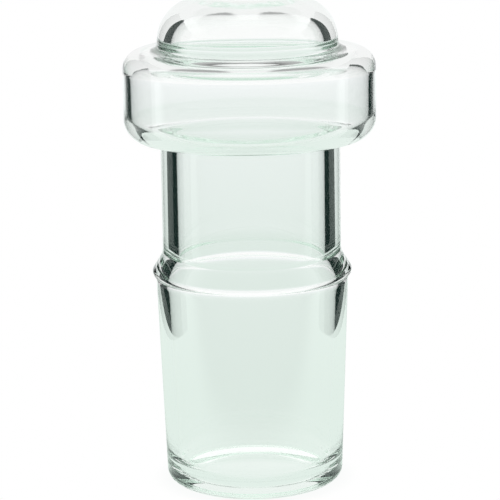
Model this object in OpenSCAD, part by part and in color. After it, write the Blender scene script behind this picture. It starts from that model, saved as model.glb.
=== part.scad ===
// Hollow glass stopper, closed at both ends: a flat base, a tapered joint, a bead, a neck,
// a hollow flange and a rounded knob.
// It is blown as one piece of glass round a sealed hollow, so it is one solid: its section
// turned about the Z axis.
// The origin is the centre of the flat base that it stands on, +Z up, millimetres.

/* [Base] */
// Thickness of the closed base
base_wall = 0.95; // [0.8:0.05:2.4]
// Rounding of the base's outer edge
base_round = 1.6; // [0.5:0.1:3]
// Rounding inside, where the base meets the wall
base_bore_round = 4.5; // [0.5:0.1:6]

/* [Tapered joint] */
// Outer diameter at the small end, over the base
joint_end_d = 27; // [24:0.1:32]
// Outer diameter at the large end, under the bead
joint_top_d = 29.2; // [27:0.1:34]
// Height of the tapered part
joint_h = 32; // [24:0.5:44]
// Wall of the tapered part
joint_wall = 1.8; // [1.2:0.1:2.6]

/* [Bead] */
// How far the bead stands out past the joint's large end
bead_out = 0.8; // [0.4:0.1:2]
// Height of the bead's lower flank
bead_rise = 0.6; // [0.4:0.1:1.5]
// Height of the shoulder from the bead up to the neck
shoulder_h = 3; // [2.4:0.1:5]
// Rounding in the corner under the bead
bead_root_round = 0.3; // [0.1:0.1:1]
// Rounding of the bead's crest
bead_round = 0.8; // [0.3:0.1:1]
// Rounding between the shoulder and the neck
shoulder_round = 3; // [1:0.5:6]

/* [Neck] */
// Outer diameter of the neck
neck_d = 27; // [23:0.1:29]
// Height of the neck, from the shoulder to the underside of the flange
neck_h = 17.3; // [10:0.5:40]
// Wall of the neck
neck_wall = 2.35; // [2:0.05:3.2]
// How far over the joint's large end the bore starts to narrow
step_rise = -0.5; // [-2:0.1:1]
// Height over which the bore narrows from the joint to the neck
step_h = 3.4; // [2:0.1:7]
// Rounding at the foot of the narrowing
step_low_round = 3; // [0.5:0.5:12]
// Rounding at the top of the narrowing
step_top_round = 0.6; // [0.2:0.2:8]

/* [Flange] */
// Outer diameter of the flange
flange_d = 37.8; // [34:0.2:50]
// Height of the flange
flange_h = 13.6; // [9:0.2:24]
// Wall of the flange's side
flange_wall = 1.1; // [0.8:0.05:2.2]
// Thickness of the flange's floor
flange_floor = 1; // [0.8:0.05:2.4]
// Thickness of the flange's ceiling
flange_ceiling = 1.4; // [0.8:0.05:2.4]
// Rounding of the flange's lower edge
flange_low_round = 3.2; // [1:0.1:5]
// Rounding of the flange's upper edge
flange_top_round = 2.8; // [1:0.1:5]
// Rounding where the flange's underside meets the neck
flange_root_round = 0.6; // [0.2:0.1:2]
// Rounding inside the flange's lower edge
cavity_low_round = 2.9; // [1:0.1:5]
// Rounding inside the flange's upper edge
cavity_top_round = 2.2; // [0.3:0.1:3]
// Rounding where the flange's floor meets the neck's bore
floor_mouth_round = 2; // [0.5:0.1:3]

/* [Knob] */
// Outer diameter of the knob
knob_d = 27; // [22:0.1:30]
// Height of the knob above the flange
knob_h = 8; // [6:0.5:16]
// Wall of the knob
knob_wall = 2.1; // [1.4:0.1:3]
// Rounding of the groove between the flange and the knob
groove_round = 1.2; // [0.4:0.1:2]
// Rounding of the knob's top edge
knob_round = 6.5; // [3:0.1:8]
// Rounding where the flange's ceiling meets the knob's bore
knob_mouth_round = 1.2; // [0.3:0.1:3]
// Rounding inside the knob's top edge
knob_bore_round = 5; // [2:0.1:7]
// How much higher the knob's crown is than the corner of its side and its top
knob_crown = 0.8; // [0.2:0.1:2]

/* [Hidden] */
$fn = 120;
// Largest turn between two points of a rounding, in degrees
arc_step = 6;
// The crown: where its slope would end if it were sharp, and the rounding there
crown_flat_r = 3;
crown_round = 60;
// Heights where one part meets the next, outside
bead_z = joint_h + bead_rise;
shoulder_z = bead_z + shoulder_h;
flange_z = shoulder_z + neck_h;
flange_top_z = flange_z + flange_h;
knob_top_z = flange_top_z + knob_h;
// Heights inside
step_z = joint_h + step_rise;
floor_z = flange_z + flange_floor;
ceiling_z = flange_top_z - flange_ceiling;
knob_roof_z = knob_top_z - knob_wall;
// Radii outside
joint_end_r = joint_end_d / 2;
joint_top_r = joint_top_d / 2;
bead_r = joint_top_r + bead_out;
neck_r = neck_d / 2;
flange_r = flange_d / 2;
knob_r = knob_d / 2;
// Radii inside
bore_r = neck_r - neck_wall;
hollow_r = flange_r - flange_wall;
knob_bore_r = knob_r - knob_wall;

function unit(v) = v / norm(v);
function turned(v, a) = [v.x * cos(a) - v.y * sin(a), v.x * sin(a) + v.y * cos(a)];

// How far a path turns at b, on the way from a to c
function turn_at(a, b, c) = 180 - acos(unit(a - b) * unit(c - b));

// The arc of radius r that rounds the corner at b, on the way from a to c
function arc_at(a, b, c, r) =
    let (
        back = unit(a - b),
        ahead = unit(c - b),
        turn = turn_at(a, b, c),
        centre = b + unit(back + ahead) * r / cos(turn / 2),
        start = b + back * r * tan(turn / 2) - centre,
        way = sign(cross(ahead, back)),
        steps = ceil(turn / arc_step)
    )
    [for (i = [0 : steps]) centre + turned(start, way * turn * i / steps)];

// How much of the roundings at two corners fits on the straight side between them
function room(p, reach, i, j) = norm(p[j] - p[i]) / (reach[i] + reach[j]);

// A path through corners given as [radius, height, rounding]; its two ends stay sharp,
// and a rounding that its side is too short for is made smaller
function rounded(corners) =
    let (
        p = [for (c = corners) [c.x, c.y]],
        last = len(corners) - 1,
        reach = [for (i = [0 : last])
            i == 0 || i == last ? 0 : corners[i].z * tan(turn_at(p[i - 1], p[i], p[i + 1]) / 2)],
        r = [for (i = [0 : last])
            i == 0 || i == last ? 0 :
            corners[i].z * min(1, room(p, reach, i, i - 1), room(p, reach, i, i + 1))]
    )
    concat(
        [p[0]],
        [for (i = [1 : last - 1]) each arc_at(p[i - 1], p[i], p[i + 1], r[i])],
        [p[last]]
    );

// Outside of the glass, from the middle of the base up to the middle of the knob's top
outside = rounded([
    [0, 0, 0],
    [joint_end_r, 0, base_round],
    [joint_top_r, joint_h, bead_root_round],
    [bead_r, bead_z, bead_round],
    [neck_r, shoulder_z, shoulder_round],
    [neck_r, flange_z, flange_root_round],
    [flange_r, flange_z, flange_low_round],
    [flange_r, flange_top_z, flange_top_round],
    [knob_r, flange_top_z, groove_round],
    [knob_r, knob_top_z - knob_crown, knob_round],
    [crown_flat_r, knob_top_z, crown_round],
    [0, knob_top_z, 0]
]);

// Inside of the glass, from the middle of the base up to the underside of the knob's top
inside = rounded([
    [0, base_wall, 0],
    [joint_end_r - joint_wall, base_wall, base_bore_round],
    [joint_top_r - joint_wall, step_z, step_low_round],
    [bore_r, step_z + step_h, step_top_round],
    [bore_r, floor_z, floor_mouth_round],
    [hollow_r, floor_z, cavity_low_round],
    [hollow_r, ceiling_z, cavity_top_round],
    [knob_bore_r, ceiling_z, knob_mouth_round],
    [knob_bore_r, knob_roof_z - knob_crown, knob_bore_round],
    [crown_flat_r, knob_roof_z, crown_round],
    [0, knob_roof_z, 0]
]);

module stopper() {
    color([0.86, 0.93, 0.89, 0.35])
    rotate_extrude()
    polygon(concat(outside, [for (i = [len(inside) - 1 : -1 : 0]) inside[i]]));
}

stopper();
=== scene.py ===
"""The looks of a hollow glass stopper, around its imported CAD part. Metres, +Z up."""

import math

import bpy
import numpy as np
from mathutils import Matrix, Vector


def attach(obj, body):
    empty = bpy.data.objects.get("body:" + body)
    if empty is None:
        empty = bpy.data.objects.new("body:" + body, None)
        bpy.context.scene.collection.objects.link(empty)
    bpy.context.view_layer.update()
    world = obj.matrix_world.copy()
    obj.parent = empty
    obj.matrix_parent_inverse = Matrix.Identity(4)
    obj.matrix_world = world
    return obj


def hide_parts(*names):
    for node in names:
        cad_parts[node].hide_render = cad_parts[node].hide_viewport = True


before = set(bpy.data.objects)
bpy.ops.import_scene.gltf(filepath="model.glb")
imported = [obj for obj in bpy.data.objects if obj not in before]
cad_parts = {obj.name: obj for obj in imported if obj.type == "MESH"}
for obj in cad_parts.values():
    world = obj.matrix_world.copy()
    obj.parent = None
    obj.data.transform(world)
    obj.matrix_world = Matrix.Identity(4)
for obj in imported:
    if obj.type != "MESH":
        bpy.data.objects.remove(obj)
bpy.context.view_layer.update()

MM = 0.001
WHITE = (1.0, 1.0, 1.0, 1.0)

# Section of the glass in millimetres, the same sizes as the CAD part
BASE_WALL, BASE_ROUND, BASE_BORE_ROUND = 0.95, 1.6, 4.5
JOINT_END_D, JOINT_TOP_D, JOINT_H, JOINT_WALL = 27.0, 29.2, 32.0, 1.8
BEAD_OUT, BEAD_RISE, SHOULDER_H = 0.8, 0.6, 3.0
BEAD_ROOT_ROUND, BEAD_ROUND, SHOULDER_ROUND = 0.3, 0.8, 3.0
NECK_D, NECK_H, NECK_WALL = 27.0, 17.3, 2.35
STEP_RISE, STEP_H, STEP_LOW_ROUND, STEP_TOP_ROUND = -0.5, 3.4, 3.0, 0.6
FLANGE_D, FLANGE_H, FLANGE_WALL, FLANGE_FLOOR, FLANGE_CEILING = 37.8, 13.6, 1.1, 1.0, 1.4
FLANGE_LOW_ROUND, FLANGE_TOP_ROUND, FLANGE_ROOT_ROUND = 3.2, 2.8, 0.6
CAVITY_LOW_ROUND, CAVITY_TOP_ROUND, FLOOR_MOUTH_ROUND = 2.9, 2.2, 2.0
KNOB_D, KNOB_H, KNOB_WALL, GROOVE_ROUND, KNOB_ROUND = 27.0, 8.0, 2.1, 1.2, 6.5
KNOB_CROWN, CROWN_FLAT_R, CROWN_ROUND = 0.8, 3.0, 60.0
KNOB_MOUTH_ROUND, KNOB_BORE_ROUND = 1.2, 5.0

# How far the knob is off the axis along X, and the heights where that starts and is full; millimetres
KNOB_DRIFT, KNOB_DRIFT_START, KNOB_DRIFT_FULL = -0.2, 65.0, 68.0

# Fineness of the lathe mesh: divisions of a turn, degrees of an arc, millimetres of a straight run
SEGMENTS, ARC_STEP, LINE_STEP = 240, 5.0, 1.2

# Camera, fitted to the outline: millimetres and degrees
CAMERA_DISTANCE, CAMERA_ELEVATION, CAMERA_ROLL = 318.6, 12.475, 0.872
CAMERA_TARGET = (-0.294, 0.0, 35.656)
LENS_LENGTH, SENSOR_WIDTH = 150.7464, 36.0
CLIP_START, CLIP_END = 10.0, 20000.0

# Glass, and what the hand left on it: lines along the axis, and swirls from CROWN_START up; metres
GLASS_IOR = 1.47
ABSORPTION_COLOR, ABSORPTION_DENSITY = (0.15, 0.81, 0.42, 1.0), 4.0
DRAW_SCALE, DRAW_DETAIL, DRAW_STRETCH, DRAW_DEPTH = 260.0, 2.0, 0.06, 0.0000012
SWIRL_SCALE, SWIRL_DETAIL, SWIRL_TWIST, SWIRL_DEPTH = 520.0, 1.0, 1.5, 0.000012
CROWN_START, CROWN_END = 0.0705, 0.0738

# Room: its light by direction, from a dim front to a white back, and the dark ceiling that is on
# both sides of a lamp
FRONT_LEVEL, BACK_LEVEL, CLEAR_LEVEL = 0.1, 0.92, 1.06
ROOM_FADE = (-0.5, 0.3)
CEILING_START, CEILING_END, CEILING_DARK = (0.68, 0.75), (0.93, 0.98), 0.55
LAMP_EDGE = (0.08, 0.15)

# Floor, in metres: its tones near and far, which paint the glass's green shade on it, where its
# painted dim front ends, and the painted shade at the base
FLOOR_HALF, FLOOR_GAP = 3.0, 0.0001
# The near tone is painted shade: the glass's green shadow on the floor, as seen through the glass
NEAR_SHADE_TONE, FAR_TONE = (0.77, 0.865, 0.81, 1.0), (0.97, 1.0, 1.0, 1.0)
NEAR_REACH, FAR_REACH = 0.05, 0.5
# Painted shade: in front, the floor as seen in or through the glass is darkened to the room's dim
# front level
FRONT_SHADE_FADE = (-0.05, -0.018)
SHADOW_TONE, SHADOW_REACH = (0.955, 0.965, 0.96, 1.0), (0.0125, 0.0165)

# Dark cards behind the sides: the right one's two ends in plan and its height, in metres, and how
# far its back edge leans, as a share of its width
CARD_BACK, CARD_FRONT = (0.0525, 0.1075), (0.091, 0.0)
CARD_HEIGHT, CARD_LEAN = 0.125, 0.33
CARD_COLOR = (0.010, 0.022, 0.019, 1.0)

# Light paths: how often light may bounce, and past how many surfaces the view counts as clear
BOUNCES = 32
CLEAR_DEPTH = 3.5

# Sockets for colours on a Mix node, which has others of the same names
MIX_COLORS, MIX_RESULT = (6, 7), 2


def unit(v):
    return v / np.linalg.norm(v)


def turn_at(a, b, c):
    """How far a path turns at b, on the way from a to c."""
    return math.pi - math.acos(float(np.clip(unit(a - b) @ unit(c - b), -1, 1)))


def arc_at(a, b, c, radius):
    """The arc that rounds the corner at b, on the way from a to c."""
    back, ahead = unit(a - b), unit(c - b)
    turn = turn_at(a, b, c)
    centre = b + unit(back + ahead) * radius / math.cos(turn / 2)
    start = b + back * radius * math.tan(turn / 2) - centre
    way = math.copysign(1.0, ahead[0] * back[1] - ahead[1] * back[0])
    steps = math.ceil(math.degrees(turn) / ARC_STEP)
    points = []
    for i in range(steps + 1):
        angle = way * turn * i / steps
        cosine, sine = math.cos(angle), math.sin(angle)
        x, y = start[0] * cosine - start[1] * sine, start[0] * sine + start[1] * cosine
        points.append(centre + np.array([x, y]))
    return points


def divided(path):
    """A path with its long straight runs divided."""
    fine = [path[0]]
    for a, b in zip(path, path[1:]):
        pieces = max(1, math.ceil(np.linalg.norm(b - a) / LINE_STEP))
        fine += [a + (b - a) * k / pieces for k in range(1, pieces + 1)]
    return np.array(fine)


def rounded(corners):
    """A path through corners given as (radius, height, rounding).

    Its two ends stay sharp, and a rounding that its side is too short for is made smaller.
    """
    points = [np.array(c[:2], float) for c in corners]
    roundings = [c[2] for c in corners]
    reaches = [0.0] * len(points)
    for i in range(1, len(points) - 1):
        reaches[i] = roundings[i] * math.tan(turn_at(points[i - 1], points[i], points[i + 1]) / 2)

    def room(i, j):
        """How much of the two roundings fits on the straight side between corners i and j."""
        return np.linalg.norm(points[j] - points[i]) / (reaches[i] + reaches[j])

    path = [points[0]]
    for i in range(1, len(points) - 1):
        radius = roundings[i] * min(1.0, room(i, i - 1), room(i, i + 1))
        path += arc_at(points[i - 1], points[i], points[i + 1], radius)
    path.append(points[-1])
    return path


def section():
    """The outside and the inside of the glass as (radius, height) paths, in millimetres."""
    bead_z = JOINT_H + BEAD_RISE
    shoulder_z = bead_z + SHOULDER_H
    flange_z = shoulder_z + NECK_H
    flange_top_z = flange_z + FLANGE_H
    knob_top_z = flange_top_z + KNOB_H
    step_z = JOINT_H + STEP_RISE
    floor_z, ceiling_z = flange_z + FLANGE_FLOOR, flange_top_z - FLANGE_CEILING
    knob_roof_z = knob_top_z - KNOB_WALL
    end_r, top_r, neck_r = JOINT_END_D / 2, JOINT_TOP_D / 2, NECK_D / 2
    flange_r, knob_r = FLANGE_D / 2, KNOB_D / 2
    bore_r, hollow_r, knob_bore_r = neck_r - NECK_WALL, flange_r - FLANGE_WALL, knob_r - KNOB_WALL
    outside = rounded([
        (0, 0, 0),
        (end_r, 0, BASE_ROUND),
        (top_r, JOINT_H, BEAD_ROOT_ROUND),
        (top_r + BEAD_OUT, bead_z, BEAD_ROUND),
        (neck_r, shoulder_z, SHOULDER_ROUND),
        (neck_r, flange_z, FLANGE_ROOT_ROUND),
        (flange_r, flange_z, FLANGE_LOW_ROUND),
        (flange_r, flange_top_z, FLANGE_TOP_ROUND),
        (knob_r, flange_top_z, GROOVE_ROUND),
        (knob_r, knob_top_z - KNOB_CROWN, KNOB_ROUND),
        (CROWN_FLAT_R, knob_top_z, CROWN_ROUND),
        (0, knob_top_z, 0),
    ])
    inside = rounded([
        (0, BASE_WALL, 0),
        (end_r - JOINT_WALL, BASE_WALL, BASE_BORE_ROUND),
        (top_r - JOINT_WALL, step_z, STEP_LOW_ROUND),
        (bore_r, step_z + STEP_H, STEP_TOP_ROUND),
        (bore_r, floor_z, FLOOR_MOUTH_ROUND),
        (hollow_r, floor_z, CAVITY_LOW_ROUND),
        (hollow_r, ceiling_z, CAVITY_TOP_ROUND),
        (knob_bore_r, ceiling_z, KNOB_MOUTH_ROUND),
        (knob_bore_r, knob_roof_z - KNOB_CROWN, KNOB_BORE_ROUND),
        (CROWN_FLAT_R, knob_roof_z, CROWN_ROUND),
        (0, knob_roof_z, 0),
    ])
    return divided(outside), divided(inside)


def drift(z):
    """How far the glass strays from the axis at a height, easing from none to full."""
    part = min(1.0, max(0.0, (z - KNOB_DRIFT_START) / (KNOB_DRIFT_FULL - KNOB_DRIFT_START)))
    return KNOB_DRIFT * part * part * (3 - 2 * part)


def turned_shell(path, inward):
    """Vertices and faces of a path from pole to pole, turned about Z, with its faces out or in."""
    turns = np.linspace(0, 2 * math.pi, SEGMENTS, endpoint=False)
    rings = path[1:-1]
    vertices = [(drift(z), 0, z) for z in (path[0][1], path[-1][1])]
    first_ring = len(vertices)
    last_ring = first_ring + (len(rings) - 1) * SEGMENTS
    for r, z in rings:
        x = drift(z)
        vertices += [(x + r * math.cos(t), r * math.sin(t), z) for t in turns]
    faces = []
    for i in range(SEGMENTS):
        j = (i + 1) % SEGMENTS
        faces.append((0, first_ring + j, first_ring + i))
        faces.append((1, last_ring + i, last_ring + j))
        for low in range(first_ring, last_ring, SEGMENTS):
            high = low + SEGMENTS
            faces.append((low + i, low + j, high + j, high + i))
    if inward:
        faces = [face[::-1] for face in faces]
    return vertices, faces


def hollow_lathe(name, outside, inside):
    """One closed mesh of two shells: the outside, and the sealed hollow inside it."""
    vertices, faces = turned_shell(outside, inward=False)
    more_vertices, more_faces = turned_shell(inside, inward=True)
    faces += [tuple(v + len(vertices) for v in face) for face in more_faces]
    vertices += more_vertices
    mesh = bpy.data.meshes.new(name)
    mesh.from_pydata([tuple(c * MM for c in v) for v in vertices], [], faces)
    mesh.validate()
    mesh.polygons.foreach_set("use_smooth", [True] * len(mesh.polygons))
    mesh.update()
    piece = bpy.data.objects.new(name, mesh)
    bpy.context.scene.collection.objects.link(piece)
    return piece


def add(tree, kind, **inputs):
    """A new node of a kind, with some of its inputs set by name."""
    node = tree.nodes.new(kind)
    for name, value in inputs.items():
        node.inputs[name].default_value = value
    return node


def place_from(tree, kind):
    """A coordinate of a kind, whole and as its X, Y and Z."""
    whole = tree.nodes.new("ShaderNodeTexCoord").outputs[kind]
    parts = tree.nodes.new("ShaderNodeSeparateXYZ")
    tree.links.new(whole, parts.inputs["Vector"])
    return whole, parts.outputs


def math_node(tree, operation, first, second):
    """A Math node's output; each operand is a number or another node's output."""
    node = tree.nodes.new("ShaderNodeMath")
    node.operation = operation
    for socket, value in zip(node.inputs, (first, second)):
        if isinstance(value, (int, float)):
            socket.default_value = value
        else:
            tree.links.new(value, socket)
    return node.outputs["Value"]


def ramp(tree, value, from_min, from_max, to_min=0.0, to_max=1.0, kind="SMOOTHSTEP"):
    """A value carried from one range to another and held at its ends."""
    node = tree.nodes.new("ShaderNodeMapRange")
    node.interpolation_type = kind
    ends = {"From Min": from_min, "From Max": from_max, "To Min": to_min, "To Max": to_max}
    for name, number in ends.items():
        node.inputs[name].default_value = number
    tree.links.new(value, node.inputs["Value"])
    return node.outputs["Result"]


def mix(tree, factor, first, second):
    """A colour between two colours; each is a tuple or another node's output."""
    node = tree.nodes.new("ShaderNodeMix")
    node.data_type = "RGBA"
    tree.links.new(factor, node.inputs["Factor"])
    for index, value in zip(MIX_COLORS, (first, second)):
        if isinstance(value, tuple):
            node.inputs[index].default_value = value
        else:
            tree.links.new(value, node.inputs[index])
    return node.outputs[MIX_RESULT]


def handwork(tree):
    """The normal of glass worked by hand: faint lines along the axis, and swirls on the crown."""
    place, parts = place_from(tree, "Object")
    flat = tree.nodes.new("ShaderNodeVectorMath")
    flat.operation = "MULTIPLY"
    flat.inputs[1].default_value = (1.0, 1.0, DRAW_STRETCH)
    tree.links.new(place, flat.inputs[0])
    lines = add(tree, "ShaderNodeTexNoise", Scale=DRAW_SCALE, Detail=DRAW_DETAIL)
    tree.links.new(flat.outputs["Vector"], lines.inputs["Vector"])
    line_height = math_node(tree, "MULTIPLY", lines.outputs["Fac"], DRAW_DEPTH)
    swirls = add(
        tree, "ShaderNodeTexNoise", Scale=SWIRL_SCALE, Detail=SWIRL_DETAIL, Distortion=SWIRL_TWIST
    )
    tree.links.new(place, swirls.inputs["Vector"])
    crown = ramp(tree, parts["Z"], CROWN_START, CROWN_END)
    crown_swirls = math_node(tree, "MULTIPLY", swirls.outputs["Fac"], crown)
    swirl_height = math_node(tree, "MULTIPLY", crown_swirls, SWIRL_DEPTH)
    bump = add(tree, "ShaderNodeBump", Distance=1.0)
    tree.links.new(math_node(tree, "ADD", line_height, swirl_height), bump.inputs["Height"])
    return bump.outputs["Normal"]


def clear_glass():
    """Smooth glass that turns pale green with depth, worked by hand."""
    material = bpy.data.materials.new("clear_glass")
    material.use_nodes = True
    tree = material.node_tree
    shader = tree.nodes["Principled BSDF"]
    shader.inputs["Base Color"].default_value = WHITE
    shader.inputs["Roughness"].default_value = 0.0
    shader.inputs["IOR"].default_value = GLASS_IOR
    shader.inputs["Transmission Weight"].default_value = 1.0
    tree.links.new(handwork(tree), shader.inputs["Normal"])
    volume = add(
        tree, "ShaderNodeVolumeAbsorption", Color=ABSORPTION_COLOR, Density=ABSORPTION_DENSITY
    )
    tree.links.new(volume.outputs["Volume"], tree.nodes["Material Output"].inputs["Volume"])
    return material


def clear_view(tree):
    """1 for what the eye sees past the glass or through both its walls, else 0."""
    path = tree.nodes.new("ShaderNodeLightPath")
    deep = math_node(tree, "GREATER_THAN", path.outputs["Transmission Depth"], CLEAR_DEPTH)
    return math_node(tree, "MAXIMUM", path.outputs["Is Camera Ray"], deep)


def studio():
    """White light, dimmer from the front, under a dark ceiling on both sides of a lamp."""
    world = bpy.data.worlds.new("studio")
    bpy.context.scene.world = world
    world.use_nodes = True
    tree = world.node_tree
    sky = tree.nodes["Background"]
    sky.inputs["Color"].default_value = WHITE
    _, way = place_from(tree, "Generated")
    room = ramp(tree, way["Y"], *ROOM_FADE, FRONT_LEVEL, BACK_LEVEL)
    ceiling = ramp(tree, way["Z"], *CEILING_START, 0.0, CEILING_DARK)
    ceiling = math_node(tree, "MULTIPLY", ceiling, ramp(tree, way["Z"], *CEILING_END, 1.0, 0.0))
    past_lamp = ramp(tree, math_node(tree, "ABSOLUTE", way["X"], 0.0), *LAMP_EDGE)
    ceiling = math_node(tree, "MULTIPLY", ceiling, past_lamp)
    room = math_node(tree, "MULTIPLY", room, math_node(tree, "SUBTRACT", 1.0, ceiling))
    clear = math_node(tree, "MULTIPLY", clear_view(tree), CLEAR_LEVEL)
    tree.links.new(math_node(tree, "MAXIMUM", room, clear), sky.inputs["Strength"])


def glow(name):
    """A material of its own light: its node tree, and the socket that takes the light's colour."""
    material = bpy.data.materials.new(name)
    material.use_nodes = True
    tree = material.node_tree
    tree.nodes.clear()
    out = tree.nodes.new("ShaderNodeOutputMaterial")
    emission = tree.nodes.new("ShaderNodeEmission")
    tree.links.new(emission.outputs["Emission"], out.inputs["Surface"])
    return material, tree, emission.inputs["Color"]


def stage_plane(name, corners, material):
    """A flat piece of the stage through four corners."""
    mesh = bpy.data.meshes.new(name)
    mesh.from_pydata(corners, [], [(0, 1, 2, 3)])
    mesh.materials.append(material)
    plane = bpy.data.objects.new(name, mesh)
    bpy.context.scene.collection.objects.link(plane)
    return plane


def floor():
    """White to the eye but for a faint painted shade; through the glass, painted pale green shade and
    a painted dim front.
    """
    material, tree, color = glow("floor")
    place, parts = place_from(tree, "Object")
    length = tree.nodes.new("ShaderNodeVectorMath")
    length.operation = "LENGTH"
    tree.links.new(place, length.inputs[0])
    reach = length.outputs["Value"]
    # Painted shade: seen through the glass, the floor turns darker and greener near the stopper, in
    # place of its shadow
    far = ramp(tree, reach, NEAR_REACH, FAR_REACH, kind="LINEAR")
    near_shade = mix(tree, far, NEAR_SHADE_TONE, FAR_TONE)
    # Painted shade: the floor in front is dimmed to the front level, except to the eye and where the
    # view is clear
    front = ramp(tree, parts["Y"], *FRONT_SHADE_FADE)
    lit = math_node(tree, "MAXIMUM", front, clear_view(tree))
    through = mix(tree, lit, (FRONT_LEVEL, FRONT_LEVEL, FRONT_LEVEL, 1.0), near_shade)
    seen = mix(tree, ramp(tree, reach, *SHADOW_REACH), SHADOW_TONE, WHITE)
    eye = tree.nodes.new("ShaderNodeLightPath").outputs["Is Camera Ray"]
    tree.links.new(mix(tree, eye, through, seen), color)
    half, z = FLOOR_HALF, -FLOOR_GAP
    corners = [(-half, -half, z), (half, -half, z), (half, half, z), (-half, half, z)]
    stage_plane("floor", corners, material)


def cards():
    """Two dark cards behind the sides, which show only in the edges of the glass."""
    material, tree, color = glow("card")
    color.default_value = CARD_COLOR
    blend = tree.nodes.new("ShaderNodeMixShader")
    tree.links.new(clear_view(tree), blend.inputs["Fac"])
    tree.links.new(tree.nodes["Emission"].outputs["Emission"], blend.inputs[1])
    tree.links.new(tree.nodes.new("ShaderNodeBsdfTransparent").outputs["BSDF"], blend.inputs[2])
    tree.links.new(blend.outputs["Shader"], tree.nodes["Material Output"].inputs["Surface"])
    (back_x, back_y), (front_x, front_y) = CARD_BACK, CARD_FRONT
    lean_x = back_x + (front_x - back_x) * CARD_LEAN
    lean_y = back_y + (front_y - back_y) * CARD_LEAN
    for name, side in (("card_left", -1), ("card_right", 1)):
        foot = [(side * back_x, back_y, FLOOR_GAP), (side * front_x, front_y, FLOOR_GAP)]
        head = [(side * front_x, front_y, CARD_HEIGHT), (side * lean_x, lean_y, CARD_HEIGHT)]
        card = stage_plane(name, foot + head, material)
        card.visible_camera = False


def camera():
    """The view of the photograph: in front and a little above, with a slight roll."""
    elevation, roll = math.radians(CAMERA_ELEVATION), math.radians(CAMERA_ROLL)
    back = Vector((0, -math.cos(elevation), math.sin(elevation)))
    right = Vector((1, 0, 0))
    up = back.cross(right)
    tilted_right = right * math.cos(roll) - up * math.sin(roll)
    tilted_up = right * math.sin(roll) + up * math.cos(roll)
    matrix = Matrix((tilted_right, tilted_up, back)).transposed().to_4x4()
    matrix.translation = Vector(CAMERA_TARGET) * MM + back * CAMERA_DISTANCE * MM
    data = bpy.data.cameras.new("camera")
    data.lens, data.sensor_width = LENS_LENGTH, SENSOR_WIDTH
    data.clip_start, data.clip_end = CLIP_START * MM, CLIP_END * MM
    eye = bpy.data.objects.new("camera", data)
    bpy.context.scene.collection.objects.link(eye)
    eye.matrix_world = matrix
    bpy.context.scene.camera = eye


bpy.context.scene.view_settings.view_transform = "Standard"
light_paths = bpy.context.scene.cycles
light_paths.max_bounces = light_paths.glossy_bounces = light_paths.transmission_bounces = BOUNCES
camera()
studio()
floor()
cards()

stopper = hollow_lathe("glass_stopper", *section())
stopper.data.materials.append(clear_glass())
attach(stopper, "root")
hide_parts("stopper")
